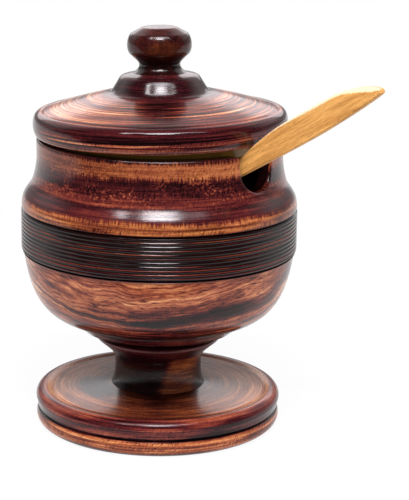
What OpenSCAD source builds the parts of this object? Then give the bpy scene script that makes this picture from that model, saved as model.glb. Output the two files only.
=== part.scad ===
// Turned wooden sugar bowl on a pedestal foot, with a domed lid and a wooden spoon in a rim notch.
// Millimetres, +Z up, origin in the middle of the foot's underside.
// The lid stands as it does in use with the spoon in: propped by the spoon handle, a little tilted.

/* [Foot] */
// Largest diameter of the foot
foot_d = 89.8; // [84:0.2:98]
// Diameter of the flat underside
foot_base_d = 84.4; // [78:0.2:86]
// Height of the groove round the foot's edge
foot_groove_z = 6.2; // [5:0.2:7.4]
// Height of the foot's rounded edge
foot_edge_h = 13.2; // [12:0.2:14.4]
// Height of the foot where the stem stands on it
foot_h = 14.4; // [13.8:0.2:17]
// Diameter of the joint between foot and stem
pillar_d = 34.4; // [33:0.2:40]

/* [Stem] */
// Height of the stem
stem_h = 19.6; // [18:0.2:25]
// Diameter of the stem's waist
stem_waist_d = 31.6; // [29:0.2:33]
// Diameter of the stem's upper edge
stem_rim_d = 44.8; // [43:0.2:50]
// Diameter of the joint between stem and bowl
joint_d = 40; // [38:0.2:43]

/* [Bowl] */
// Height of the bowl from its joint to its rim
bowl_h = 72; // [69:0.5:80]
// Outer diameter of the rim
rim_d = 88.8; // [86:0.4:92]
// Diameter over the belly band
belly_d = 100; // [97:0.5:106]
// Diameter of the ring turned on the underside
ring_d = 57.2; // [54:0.2:60]
// Height of the belly band's lower edge above the joint
band_z = 31.4; // [29:0.2:33]
// Height of the belly band
band_h = 15.4; // [13:0.2:16]
// Number of fine lines in the belly band
band_lines = 10; // [6:1:14]
// Thickness of the wall at the rim
rim_wall = 5; // [4:0.2:6]
// Thickness of the wall at the belly
belly_wall = 6.5; // [5:0.1:7.5]
// Thickness of the floor
floor_t = 8; // [7.5:0.1:9]

/* [Spoon notch] */
// Direction of the notch, seen from above
notch_az = -39.5; // [-42:0.5:-38]
// Width of the notch's round bottom
notch_w = 16.6; // [16:0.2:19]
// Depth of the notch below the rim
notch_depth = 13.6; // [12.6:0.2:15]
// Slope of the notch's sides
notch_flare = 9; // [5:0.5:14]

/* [Lid] */
// Largest diameter of the lid
lid_d = 91.4; // [90:0.2:96]
// Diameter of the lid's flat seat
seat_d = 88; // [85:0.2:88.4]
// Height of the lid's rounded edge
lid_edge_h = 9; // [8.2:0.2:10.2]
// Height of the foot of the boss
boss_z = 14.8; // [14:0.1:15.6]
// Diameter of the foot of the boss
boss_foot_d = 40; // [37:0.5:43]
// Diameter of the boss at its shoulder
boss_d = 30.6; // [28:0.2:33]
// Height of the lid to the top of the boss
lid_h = 21.9; // [21.2:0.1:24.4]
// Depth of the spigot under the lid
spigot_h = 4.5; // [4.1:0.1:5.2]
// Width of the spigot ring
spigot_w = 7; // [5:0.5:9]
// Height of the recess inside the spigot, above the seat
recess_h = 3; // [1:0.2:4]

/* [Knob] */
// Height of the knob
knob_h = 16.2; // [15.5:0.1:18]
// Largest diameter of the knob
knob_d = 23.2; // [21:0.2:26]
// Diameter of the knob's waist
waist_d = 14.7; // [13:0.1:16]
// Diameter of the knob where it stands on the boss
knob_base_d = 19.4; // [17.6:0.2:21]
// Diameter of the flat on top
knob_top_d = 12.6; // [10:0.2:14]

/* [Spoon] */
// Length of the spoon
spoon_l = 155.5; // [145:0.5:170]
// Thickness of the handle
spoon_t = 3.6; // [3:0.1:4.4]
// Width of the handle at its slim part
spoon_neck_w = 5; // [4.4:0.1:6]
// Largest width of the handle
spoon_w = 9.5; // [8.6:0.1:11]
// Diameter of the scoop
scoop_d = 25; // [22:0.2:27]
// Depth of the scoop, outside
scoop_depth = 9; // [8:0.1:10]
// Thickness of the scoop's wall
scoop_wall = 2.2; // [1.8:0.1:3]
// Direction of the handle, seen from above
spoon_az = -36; // [-38:0.5:-34]
// Rise of the handle above level
spoon_rise = 31.3; // [30:0.1:33]
// Distance of the handle's mid-plane from the bowl's axis
spoon_off = 7.6; // [7:0.1:8.4]
// Drop of the handle's mid-line below the rim, where it crosses the rim
spoon_drop = 2.85; // [2.4:0.05:3.4]
// Height of the leaf's middle above the mid-line of the slim part
leaf_lift = 1.7; // [0.6:0.1:2.2]
// Distance of the handle's widest part from its tip
leaf_l = 33; // [28:0.5:36]
// Length over which the upper edge falls to the tip
tip_l = 18; // [14:0.5:22]

/* [Dowels] */
// Diameter of the dowels in bowl and foot
dowel_d = 10; // [8:0.5:12]
// Depth of the dowel in the bowl's floor
dowel_in_bowl = 5; // [4:0.1:5.4]
// Depth of the other dowel holes in stem and foot
dowel_in_stem = 8; // [6:0.1:8.2]
// Diameter of the knob's dowel
pin_d = 6; // [5:0.2:7]
// Depth of the knob's dowel in lid and knob
pin_depth = 9; // [7:0.2:10]

/* [Clearances] */
// Space round a glued dowel
glue_gap = 0.05; // [0.02:0.01:0.1]
// Space left over at the end of a dowel hole
end_gap = 0.4; // [0.2:0.1:0.8]
// Space between spigot and mouth, on the radius
mouth_gap = 1.2; // [1:0.1:1.6]
// Space between pieces that only lie against each other
touch_gap = 0.3; // [0.2:0.05:0.5]
// Distance by which the lid has slid toward the spoon
lid_shift = 0.2; // [0.1:0.1:0.8]
// Space between the handle and the side of the notch
notch_gap = 0.6; // [0.4:0.1:1.2]
// Space between the scoop's edge and the bowl's inside
scoop_gap = 0.7; // [0.4:0.1:1.4]

/* [Hidden] */
$fn = 180;
arc_steps = 12;
over = 1;

// Radii
foot_r = foot_d / 2;
rim_r = rim_d / 2;
belly_r = belly_d / 2;
joint_r = joint_d / 2;
pillar_r = pillar_d / 2;
mouth_r = rim_r - rim_wall;
cavity_r = belly_r - belly_wall;
spigot_r = mouth_r - mouth_gap;
lid_r = lid_d / 2;
seat_r = seat_d / 2;

// Heights above the table
stem_z = foot_h;
bowl_z = stem_z + stem_h;
rim_z = bowl_z + bowl_h;

// Turned details: width and depth of deep grooves and of fine lines, and roundings
groove_w = 1.2;
groove_depth = 1.1;
line_depth = 0.25;
edge_round = 0.9;

// Bowl inside: depth of its straight mouth, and height of its widest place above the joint
mouth_depth = 10;
cavity_z = 36;

// Spoon: where its mid-line crosses the rim
spoon_cross = sqrt(rim_r * rim_r - spoon_off * spoon_off);
spoon_cross_z = rim_z - spoon_drop;
scoop_r = scoop_d / 2;
handle_face = spoon_off + spoon_t / 2;

// Inside radius of the bowl at a height above the table
function inside_r(z) = lookup(z - bowl_z, [for (p = bowl_inside()) [p[1], p[0]]]);

// Least space between the scoop's edge and the bowl's inside, for a spoon that reaches in by l
function scoop_room(l) = min([
    for (a = [0 : 10 : 350])
        let (x = scoop_r - l + scoop_r * cos(a), y = scoop_r * sin(a))
            inside_r(spoon_cross_z + x * sin(spoon_rise) + y * cos(spoon_rise))
            - norm([spoon_cross + x * cos(spoon_rise) - y * sin(spoon_rise), spoon_off - spoon_t / 2])
]);

// How far the spoon can reach in, between near and far, found by halving
function reach(near, far, steps) =
    let (middle = (near + far) / 2)
        steps == 0 ? near
        : scoop_room(middle) < scoop_gap ? reach(near, middle, steps - 1)
        : reach(middle, far, steps - 1);

half_way = spoon_cross / cos(spoon_rise);
spoon_in = reach(half_way, 3 * half_way, 24);
scoop_x = scoop_r - spoon_in;
spoon_end = spoon_l - spoon_in;
leaf_x = spoon_end - leaf_l;

// Lid tilt: the lid leans on the handle's upper edge, with the seat's far side on the rim
lid_line_r = lid_r - 3.5;
pivot_r = min(seat_r - lid_shift, rim_r - edge_round);

// Height of the handle's upper edge above the table, at a distance from the bowl's axis
function handle_top(out) = lookup(out, [
    for (p = upper_edge())
        [spoon_cross + p[0] * cos(spoon_rise) - p[1] * sin(spoon_rise),
         spoon_cross_z + p[0] * sin(spoon_rise) + p[1] * cos(spoon_rise)]
]);

// Tilt at which a point of the lid's profile, at radius r and height h, just clears the handle
function prop_tilt(r, h) =
    let (out = sqrt(r * r - pow(spoon_off - spoon_t / 2, 2)) + lid_shift)
        asin((handle_top(out) + touch_gap - rim_z - h) / (pivot_r + out));

lid_tilt = max([for (p = lid_profile()) if (p[0] >= spigot_r - spigot_w) prop_tilt(p[0], p[1])]);

// Points of a cubic curve from a to d, drawn by the handles b and c
function curve(a, b, c, d) = [
    for (i = [0 : arc_steps])
        let (t = i / arc_steps, u = 1 - t)
            u * u * u * a + 3 * u * u * t * b + 3 * u * t * t * c + t * t * t * d
];

// Points of an arc about p, from angle a0 to a1
function arc(p, r, a0, a1) = [
    for (i = [0 : arc_steps])
        let (a = a0 + (a1 - a0) * i / arc_steps)
            p + r * [cos(a), sin(a)]
];

// A notch of depth d and width w in a vertical wall of radius r, at height z
function groove(r, z, w, d) = [[r, z - w / 2], [r - d, z], [r, z + w / 2]];

module turned(points) {
    rotate_extrude()
        polygon(points);
}

// A dowel hole from z0 to z1 on the axis
module dowel_hole(d, z0, z1) {
    translate([0, 0, z0])
        cylinder(d = d + 2 * glue_gap, h = z1 - z0);
}

module dowel(d, z0, z1) {
    translate([0, 0, z0 + end_gap / 2])
        cylinder(d = d, h = z1 - z0 - end_gap);
}

// Foot: flat base, lower ring, groove, rounded edge and a gently rising top
foot_bead_r = (foot_edge_h - foot_groove_z - groove_w / 2) / 2;
foot_bead = [foot_r - foot_bead_r, foot_edge_h - foot_bead_r];
foot_top_r = foot_bead[0] - 2.4;

function foot_profile() = concat(
    [[0, 0]],
    curve([foot_base_d / 2, 0], [foot_base_d / 2 + 1.6, 0.6], [foot_r, 2], [foot_r - 0.2, 4.2]),
    groove(foot_r - 0.6, foot_groove_z, groove_w, groove_depth),
    arc(foot_bead, foot_bead_r, -30, 110),
    [[foot_top_r, foot_edge_h - 0.8]],
    curve([foot_top_r - 0.5, foot_edge_h - 0.5], [pillar_r + 10, foot_edge_h + 0.2],
          [pillar_r + 4, foot_edge_h + 0.5], [pillar_r, foot_h]),
    [[0, foot_h]]
);

module foot() {
    color("sienna")
        difference() {
            turned(foot_profile());
            dowel_hole(dowel_d, stem_z - dowel_in_stem, stem_z + over);
        }
}

// Stem: a waist that flares out under the bowl, with a sharp upper edge
stem_waist = [stem_waist_d / 2, 7.2];
stem_edge = [stem_rim_d / 2, stem_h - 2.4];

function stem_profile() = concat(
    [[0, 0]],
    curve([pillar_r, 0], [pillar_r - 1, 1.6], [stem_waist[0], 4], stem_waist),
    curve(stem_waist, stem_waist + [0, 5], [stem_waist[0] + 1.4, stem_edge[1] - 4.4], stem_edge),
    [stem_edge + [0, 0.9], [joint_r, stem_h], [0, stem_h]]
);

module stem() {
    color("saddlebrown")
        difference() {
            translate([0, 0, stem_z])
                turned(stem_profile());
            dowel_hole(dowel_d, stem_z - over, stem_z + dowel_in_stem);
            dowel_hole(dowel_d, bowl_z - dowel_in_stem, bowl_z + over);
        }
}

// Bowl outside: underside ring, belly, grooved band, shoulder and upright rim
ring_r = ring_d / 2;
ring_top = [ring_r + 4.6, 5.4];
belly_start = ring_top + [1.7, 0.8];
band_top = band_z + band_h;
band_step = band_h / (band_lines + 1);
shoulder_top = [rim_r - 0.1, bowl_h - 7];

function band_profile() = [
    for (i = [1 : band_lines])
        each groove(belly_r, band_z + i * band_step, band_step * 0.7, line_depth)
];

function bowl_outside() = concat(
    [[0, 0], [joint_r, 0], [ring_r - 0.8, 1.6]],
    [[ring_r, 2.4], ring_top, ring_top + [0.2, 0.7]],
    curve(belly_start, belly_start + [9.5, 3.2], [belly_r - 2.5, band_z - 12.2], [belly_r - 0.9, band_z - 0.6]),
    groove(belly_r - 0.4, band_z, groove_w * 0.7, groove_depth),
    band_profile(),
    groove(belly_r - 0.2, band_top, groove_w * 0.7, groove_depth),
    curve([belly_r - 0.2, band_top + 0.7], [belly_r - 0.2, band_top + 6.5],
          [shoulder_top[0], band_top + 10.5], shoulder_top),
    arc([rim_r - edge_round, bowl_h - edge_round], edge_round, 0, 90),
    [[0, bowl_h]]
);

// Bowl inside: floor, belly and a straight mouth for the lid's spigot
function bowl_inside() = concat(
    [[0, floor_t]],
    curve([16, floor_t], [cavity_r - 9.5, floor_t], [cavity_r - 1.5, floor_t + 8], [cavity_r, cavity_z]),
    curve([cavity_r, cavity_z], [cavity_r, cavity_z + 14], [mouth_r, bowl_h - mouth_depth - 12],
          [mouth_r, bowl_h - mouth_depth]),
    [[mouth_r, bowl_h + over], [0, bowl_h + over]]
);

// Notch: one side stands clear of the handle's outer face, where its lower edge enters the mouth
notch_r = notch_w / 2;
notch_mid_z = rim_z - notch_depth + notch_r;
handle_in = sqrt(mouth_r * mouth_r - handle_face * handle_face);
handle_low = spoon_cross_z - (spoon_cross - handle_in) * tan(spoon_rise) - spoon_neck_w / 2 / cos(spoon_rise);
notch_half = sqrt(notch_r * notch_r - pow(min(0, handle_low - notch_mid_z), 2));
notch_shift = mouth_r * sin(spoon_az - asin(handle_face / mouth_r) - notch_az) + notch_half - notch_gap;

// Notch for the spoon: a round bottom with sides that open upward
module notch_cut() {
    round_bottom = arc([0, 0], notch_r, 180 + notch_flare, 360 - notch_flare);
    low = round_bottom[arc_steps];
    open = notch_depth - notch_r + over;
    high = low + (open - low[1]) * [tan(notch_flare), 1];
    rotate([0, 0, notch_az])
        translate([0, notch_shift, notch_mid_z])
            rotate([90, 0, 90])
                linear_extrude(belly_r + over)
                    polygon(concat(round_bottom, [high, [-high[0], high[1]]]));
}

module bowl() {
    color("chocolate")
        difference() {
            translate([0, 0, bowl_z])
                difference() {
                    turned(bowl_outside());
                    turned(bowl_inside());
                }
            notch_cut();
            dowel_hole(dowel_d, bowl_z - over, bowl_z + dowel_in_bowl);
        }
}

// Places the lid and its knob: tilted up at the spoon, with the seat's far side on the rim
module on_lid() {
    rotate([0, 0, spoon_az])
        translate([-pivot_r, 0, rim_z + touch_gap])
            rotate([0, -lid_tilt, 0])
                translate([pivot_r + lid_shift, 0, 0])
                    children();
}

function lid_profile() = concat(
    [[0, recess_h], [spigot_r - spigot_w, recess_h], [spigot_r - spigot_w, -spigot_h]],
    [[spigot_r - 0.5, -spigot_h], [spigot_r, 0.5 - spigot_h], [spigot_r, 0]],
    curve([seat_r, 0], [seat_r + 1.1, 0.2], [lid_r, lid_edge_h * 0.26], [lid_r, lid_edge_h * 0.48]),
    curve([lid_r, lid_edge_h * 0.48], [lid_r, lid_edge_h * 0.78], [lid_line_r + 2.7, lid_edge_h * 0.94],
          [lid_line_r + 0.5, lid_edge_h - 0.1]),
    [[lid_line_r, lid_edge_h - 0.4]],
    curve([lid_line_r - 0.5, lid_edge_h], [lid_line_r - 6, lid_edge_h + 1.8],
          [boss_foot_d / 2 + 6, boss_z - 1.2], [boss_foot_d / 2, boss_z]),
    curve([boss_foot_d / 2, boss_z], [boss_d / 2 + 2.4, boss_z + 0.8],
          [boss_d / 2 + 0.9, boss_z + 2], [boss_d / 2 + 0.3, boss_z + 3.6]),
    curve([boss_d / 2 - 0.8, lid_h - 1.6], [boss_d / 2 - 1.2, lid_h - 0.7],
          [boss_d / 2 - 2.2, lid_h - 0.2], [boss_d / 2 - 4, lid_h]),
    [[0, lid_h]]
);

module lid() {
    color("brown")
        on_lid()
            difference() {
                turned(lid_profile());
                dowel_hole(pin_d, lid_h - pin_depth, lid_h + over);
            }
}

// Knob: a waist, an undercut cheek, a rounded side, a slope and a flat top
knob_waist = [waist_d / 2, 3];
knob_cheek = [knob_d / 2 - 0.9, 6.9];
knob_side = [knob_d / 2 - 1.4, knob_h - 2.2];

function knob_profile() = concat(
    [[0, 0]],
    curve([knob_base_d / 2, 0], [knob_base_d / 2 - 1.2, 0.6], [knob_waist[0], 1.5], knob_waist),
    curve(knob_waist, knob_waist + [0, 1], knob_cheek - [1.8, 1.8], knob_cheek),
    curve(knob_cheek, knob_cheek + [1, 1.2], knob_side + [1.9, -2.4], knob_side),
    [[knob_top_d / 2 + 0.2, knob_h - 0.2], [knob_top_d / 2 - 0.4, knob_h], [0, knob_h]]
);

module knob() {
    color("maroon")
        on_lid()
            translate([0, 0, lid_h])
                difference() {
                    turned(knob_profile());
                    dowel_hole(pin_d, -over, pin_depth);
                }
}

// Places the spoon: x along the handle from the rim outward, y up across its width, z through its board
module on_spoon() {
    rotate([0, 0, spoon_az])
        translate([spoon_cross, -spoon_off, spoon_cross_z])
            rotate([0, -spoon_rise, 0])
                rotate([90, 0, 0])
                    children();
}

// One edge of the handle, from the scoop to the tip: it is widest, w from the mid-line, from x0 to x1
function handle_edge(w, x0, x1) = concat(
    [[scoop_x, spoon_neck_w / 2]],
    curve([-8, spoon_neck_w / 2], [0, spoon_neck_w / 2 + 0.1], [x0 - 16, w], [x0, w]),
    curve([x1, w], [x1 + (spoon_end - x1) * 0.35, w], [spoon_end - 0.8, w * 0.55], [spoon_end, 0])
);

// The same points in reverse on the other side of the mid-line, without the tip itself
function mirrored(points) = [
    for (i = [len(points) - 2 : -1 : 0])
        [points[i][0], -points[i][1]]
];

// The leaf lies above the mid-line of the slim part and stays wide for longer on its upper edge
function upper_edge() = handle_edge(spoon_w / 2 + leaf_lift, leaf_x - 3, spoon_end - tip_l);

function lower_edge() = handle_edge(spoon_w / 2 - leaf_lift, leaf_x, leaf_x);

module handle() {
    translate([0, 0, -spoon_t / 2])
        linear_extrude(spoon_t)
            polygon(concat(upper_edge(), mirrored(lower_edge())));
}

// Scoop: part of a hollow ball, open on the side of the handle that faces the bowl's axis
ball_r = (scoop_r * scoop_r + scoop_depth * scoop_depth) / (2 * scoop_depth);
scoop_rim = spoon_t / 2;
ball_mid = [0, scoop_rim - scoop_depth + ball_r];

// Arc of a ball of radius r from its lowest point to the scoop's rim
function ball_arc(r) = arc(ball_mid, r, -90, asin((scoop_rim - ball_mid[1]) / r));

module scoop_turned(points) {
    translate([scoop_x, 0, 0])
        mirror([0, 0, 1])
            turned(points);
}

module scoop_hollow() {
    rim = ball_arc(ball_r - scoop_wall)[arc_steps];
    scoop_turned(concat(ball_arc(ball_r - scoop_wall), [rim + [0, over], [0, scoop_rim + over]]));
}

module spoon() {
    color("burlywood")
        on_spoon()
            difference() {
                union() {
                    handle();
                    scoop_turned(concat(ball_arc(ball_r), [[0, scoop_rim]]));
                }
                scoop_hollow();
            }
}

module foot_dowel() {
    color("tan")
        dowel(dowel_d, stem_z - dowel_in_stem, stem_z + dowel_in_stem);
}

module bowl_dowel() {
    color("tan")
        dowel(dowel_d, bowl_z - dowel_in_stem, bowl_z + dowel_in_bowl);
}

module knob_dowel() {
    color("tan")
        on_lid()
            dowel(pin_d, lid_h - pin_depth, lid_h + pin_depth);
}

foot();
stem();
bowl();
lid();
knob();
spoon();
foot_dowel();
bowl_dowel();
knob_dowel();
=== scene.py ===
"""Looks of the turned wooden sugar bowl: smooth meshes, stained wood, studio light and the camera."""
from math import asin, ceil, cos, degrees, dist, hypot, pi, radians, sin, sqrt, tan

import bpy
from mathutils import Matrix, Vector

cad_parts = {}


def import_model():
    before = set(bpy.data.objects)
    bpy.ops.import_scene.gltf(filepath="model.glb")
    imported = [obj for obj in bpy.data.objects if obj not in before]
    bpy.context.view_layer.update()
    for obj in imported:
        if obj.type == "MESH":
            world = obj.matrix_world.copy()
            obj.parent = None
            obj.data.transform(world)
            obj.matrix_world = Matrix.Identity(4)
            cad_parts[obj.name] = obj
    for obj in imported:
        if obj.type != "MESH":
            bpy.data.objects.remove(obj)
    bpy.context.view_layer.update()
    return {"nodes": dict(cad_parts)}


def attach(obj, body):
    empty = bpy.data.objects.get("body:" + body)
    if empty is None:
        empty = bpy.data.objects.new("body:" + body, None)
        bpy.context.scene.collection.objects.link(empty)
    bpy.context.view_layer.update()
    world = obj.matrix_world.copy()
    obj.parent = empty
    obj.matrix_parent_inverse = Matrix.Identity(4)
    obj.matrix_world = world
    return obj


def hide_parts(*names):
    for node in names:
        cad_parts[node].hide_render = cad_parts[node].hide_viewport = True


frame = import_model()

MM = 0.001
# Belly and spoon stay inside the solids by this much, so that the whole box does
HAIR = 0.03

# Sizes of the solids, in millimetres, as in the part's source or worked out there

# Foot, with the pillar that the stem stands on
FOOT_R = 44.9
FOOT_BASE_R = 42.2
FOOT_GROOVE_Z = 6.2
FOOT_EDGE_H = 13.2
FOOT_H = 14.4
PILLAR_R = 17.2

# Stem, and the joint between it and the bowl
STEM_H = 19.6
STEM_WAIST_R = 15.8
STEM_WAIST_Z = 7.2
STEM_RIM_R = 22.4
JOINT_R = 20.0

# Bowl, the band of lines round it and the notch in its rim
BOWL_H = 72.0
RIM_R = 44.4
BELLY_R = 50.0 - HAIR
RING_R = 28.6
RIM_WALL = 5.0
BELLY_WALL = 6.5
FLOOR_T = 8.0
BAND_Z = 31.4
BAND_H = 15.4
BAND_LINES = 10
NOTCH_AZ = -39.5
NOTCH_R = 8.3
NOTCH_DEPTH = 13.6
NOTCH_FLARE = 9.0
NOTCH_SHIFT = -0.272

# Lid, and how it lies on the rim and the spoon
LID_R = 45.7
SEAT_R = 44.0
LID_EDGE_H = 9.0
BOSS_Z = 14.8
BOSS_FOOT_R = 20.0
BOSS_R = 15.3
LID_H = 21.9
SPIGOT_H = 4.5
SPIGOT_W = 7.0
RECESS_H = 3.0
MOUTH_GAP = 1.2
TOUCH_GAP = 0.3
LID_SHIFT = 0.2
LID_TILT = 1.6055

# Knob
KNOB_H = 16.2
KNOB_R = 11.6
WAIST_R = 7.35
WAIST_Z = 3.0
KNOB_BASE_R = 9.7
KNOB_TOP_R = 6.3

# Spoon, and its place in the notch
SPOON_L = 155.5
SPOON_IN = 95.912
SPOON_T = 3.6
SPOON_NECK = 2.5
SPOON_W = 4.75
LEAF_L = 33.0
TIP_L = 18.0
LEAF_LIFT = 1.7
SCOOP_R = 12.5
SCOOP_DEPTH = 9.0
SCOOP_WALL = 2.2
SPOON_AZ = -36.0
SPOON_RISE = 31.3
SPOON_OFF = 7.6
SPOON_DROP = 2.85

# Holes for the dowels and for the knob's pin
DOWEL_R = 5.05
DOWEL_IN_STEM = 8.0
DOWEL_IN_BOWL = 5.0
PIN_R = 3.05
PIN_DEPTH = 9.0

# Turned details. The band's lines are cut a little deeper here than in the solids
EDGE_ROUND = 0.9
EDGE_ROUND_IN = 0.7
GROOVE_W = 1.2
GROOVE_DEPTH = 1.1
LINE_W = 1.0
LINE_DEPTH = 0.35

STEM_Z = FOOT_H
BOWL_Z = STEM_Z + STEM_H
RIM_Z = BOWL_Z + BOWL_H
BAND_TOP = BAND_Z + BAND_H
BAND_STEP = BAND_H / (BAND_LINES + 1)
NOTCH_LOW = BOWL_H - NOTCH_DEPTH
MOUTH_R = RIM_R - RIM_WALL
CAVITY_R = BELLY_R - BELLY_WALL
SPIGOT_R = MOUTH_R - MOUTH_GAP
LID_LINE_R = LID_R - 3.5
# The solid's tip is cut from few straight edges, so the smooth one ends a little sooner
SPOON_END = SPOON_L - SPOON_IN - 0.15

# Steps round a turned piece and round the knob
SIDES = 300
KNOB_SIDES = 200
# The bowl's mesh: half width of the stretch of rim that follows the notch, the height from which its
# columns do so, columns round the rest of the rim, and steps up the wall, round an edge and across the rim
NOTCH_ZONE = 13.0
SPLIT_Z = 54.0
RIM_COLUMNS = 260
WALL_ROWS = 26
EDGE_STEPS = 5
FLAT_STEPS = 6
# Points in half of a cross-section of the spoon
SPOON_HALF = 30
# Edges that turn by more than this are shaded sharp, in degrees
SHARP_ANGLE = 40

# Attributes that the shaders read
OWN_FRAME = "own_frame"
BEVEL = "bevel"


# Profiles: lists of (radius, height)

def spaced(low, high, steps):
    """Values from low to high in equal steps."""
    return [low + (high - low) * i / steps for i in range(steps + 1)]


def polar(r, angle, z):
    return r * cos(angle), r * sin(angle), z


def curve(a, b, c, d, steps=14):
    """Points of a cubic curve from a to d, drawn by the handles b and c."""
    out = []
    for t in spaced(0, 1, steps):
        u = 1 - t
        out.append(tuple(u**3 * p + 3 * u * u * t * q + 3 * u * t * t * r + t**3 * s
                         for p, q, r, s in zip(a, b, c, d)))
    return out


def arc(middle, radius, start, end, steps=14):
    """Points of an arc, angles in degrees."""
    return [(middle[0] + radius * cos(a), middle[1] + radius * sin(a))
            for a in spaced(radians(start), radians(end), steps)]


def hole(radius, mouth, end):
    """The end of a profile in a hole on the axis, from its mouth inward."""
    return [(radius, mouth), (radius, end), (0, end)]


def groove(r, z, width, depth):
    """A notch in an upright wall."""
    return [(r, z - width / 2), (r - depth, z), (r, z + width / 2)]


def soften(points, radius, turn=22, steps=4):
    """Rounds the corners of a line that turn by more than some degrees, as a worked edge is."""
    out = [points[0]]
    for before, here, after in zip(points, points[1:], points[2:]):
        corner = Vector(here)
        a, b = Vector(before) - corner, Vector(after) - corner
        if a.length < 1e-6 or b.length < 1e-6:
            continue
        angle = degrees(a.angle(b))
        if 180 - angle < turn:
            out.append(here)
            continue
        reach = min(radius / tan(radians(angle) / 2), 0.45 * a.length, 0.45 * b.length)
        p, q = corner + a.normalized() * reach, corner + b.normalized() * reach
        for t in spaced(0, 1, steps):
            out.append(tuple(p * (1 - t)**2 + corner * 2 * t * (1 - t) + q * t**2))
    return out + [points[-1]]


def fill_in(points, step):
    """Adds points on long straight stretches."""
    out = [points[0]]
    for a, b in zip(points, points[1:]):
        n = max(1, ceil(dist(a, b) / step))
        out += list(zip(spaced(a[0], b[0], n), spaced(a[1], b[1], n)))[1:]
    return out


def at_height(profile):
    """The radius of a profile as a function of height."""
    line = sorted((z, r) for r, z in profile)

    def radius(z):
        for (z0, r0), (z1, r1) in zip(line, line[1:]):
            if z0 <= z <= z1:
                return r0 if z1 - z0 < 1e-9 else r0 + (r1 - r0) * (z - z0) / (z1 - z0)
        return line[-1][1] if z > line[-1][0] else line[0][1]
    return radius


def foot_profile():
    bead_r = (FOOT_EDGE_H - FOOT_GROOVE_Z - GROOVE_W / 2) / 2
    bead = (FOOT_R - bead_r, FOOT_EDGE_H - bead_r)
    top_r = bead[0] - 2.4
    line = [(0, 0)]
    line += curve((FOOT_BASE_R, 0), (FOOT_BASE_R + 1.6, 0.6), (FOOT_R, 2), (FOOT_R - 0.2, 4.2))
    line += groove(FOOT_R - 0.6, FOOT_GROOVE_Z, GROOVE_W, GROOVE_DEPTH) + arc(bead, bead_r, -30, 110)
    line += [(top_r, FOOT_EDGE_H - 0.8)]
    line += curve((top_r - 0.5, FOOT_EDGE_H - 0.5), (PILLAR_R + 10, FOOT_EDGE_H + 0.2),
                  (PILLAR_R + 4, FOOT_EDGE_H + 0.5), (PILLAR_R, FOOT_H), 24)
    return line + hole(DOWEL_R, FOOT_H, FOOT_H - DOWEL_IN_STEM)


def stem_profile():
    waist, edge = (STEM_WAIST_R, STEM_WAIST_Z), (STEM_RIM_R, STEM_H - 2.4)
    line = hole(DOWEL_R, 0, DOWEL_IN_STEM)[::-1]
    line += curve((PILLAR_R, 0), (PILLAR_R - 1, 1.6), (waist[0], 4), waist)
    line += curve(waist, (waist[0], waist[1] + 5), (waist[0] + 1.4, edge[1] - 4.4), edge, 20)[1:]
    line += [(edge[0], edge[1] + 0.9), (JOINT_R, STEM_H)]
    return line + hole(DOWEL_R, STEM_H, STEM_H - DOWEL_IN_STEM)


def shoulder_profile():
    """From the band to the rim: upright, then a turn to its steepest slope, and the neck's hollow."""
    start, steep = (BELLY_R - 0.2, BAND_TOP + 0.7), (BELLY_R - 2.05, BAND_TOP + 6.65)
    neck = (BELLY_R - 4.0, BAND_TOP + 9.7)
    line = curve(start, (start[0], BAND_TOP + 4.0), (BELLY_R - 1.05, BAND_TOP + 5.2), steep, 20)
    line += curve(steep, (BELLY_R - 2.75, BAND_TOP + 7.65), (BELLY_R - 3.6, BAND_TOP + 8.7), neck, 10)[1:]
    line += curve(neck, (BELLY_R - 4.5, BAND_TOP + 11.0), (RIM_R + 0.2, BOWL_H - 11),
                  (RIM_R - 0.1, BOWL_H - 7))[1:]
    return line + [(RIM_R, BOWL_H)]


def bowl_outside():
    """From the dowel hole in the joint to the upright rim, without the rim's own rounding."""
    ring_top = (RING_R + 4.6, 5.4)
    start = (ring_top[0] + 1.7, ring_top[1] + 0.8)
    line = hole(DOWEL_R, 0, DOWEL_IN_BOWL)[::-1] + [(JOINT_R, 0), (RING_R - 0.8, 1.6), (RING_R, 2.4)]
    line += [ring_top, (ring_top[0] + 0.2, ring_top[1] + 0.7)]
    line += curve(start, (start[0] + 9.5, start[1] + 3.2), (BELLY_R - 2.5, BAND_Z - 12.2),
                  (BELLY_R - 0.9, BAND_Z - 0.6), 28)
    line += groove(BELLY_R - 0.4, BAND_Z, GROOVE_W * 0.7, GROOVE_DEPTH)
    for i in range(1, BAND_LINES + 1):
        line += groove(BELLY_R, BAND_Z + i * BAND_STEP, LINE_W, LINE_DEPTH)
    line += groove(BELLY_R - 0.2, BAND_TOP, GROOVE_W * 0.7, GROOVE_DEPTH)
    return line + shoulder_profile()


def bowl_inside():
    """From the upright mouth down to the middle of the floor."""
    mouth = BOWL_H - 10
    widest = (CAVITY_R, 36)
    line = [(MOUTH_R, BOWL_H)]
    line += curve((MOUTH_R, mouth), (MOUTH_R, mouth - 12), (CAVITY_R, 50), widest, 20)
    line += curve(widest, (CAVITY_R - 1.5, FLOOR_T + 8), (CAVITY_R - 9.5, FLOOR_T), (16, FLOOR_T), 24)[1:]
    return line + [(8, FLOOR_T), (0, FLOOR_T)]


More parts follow.
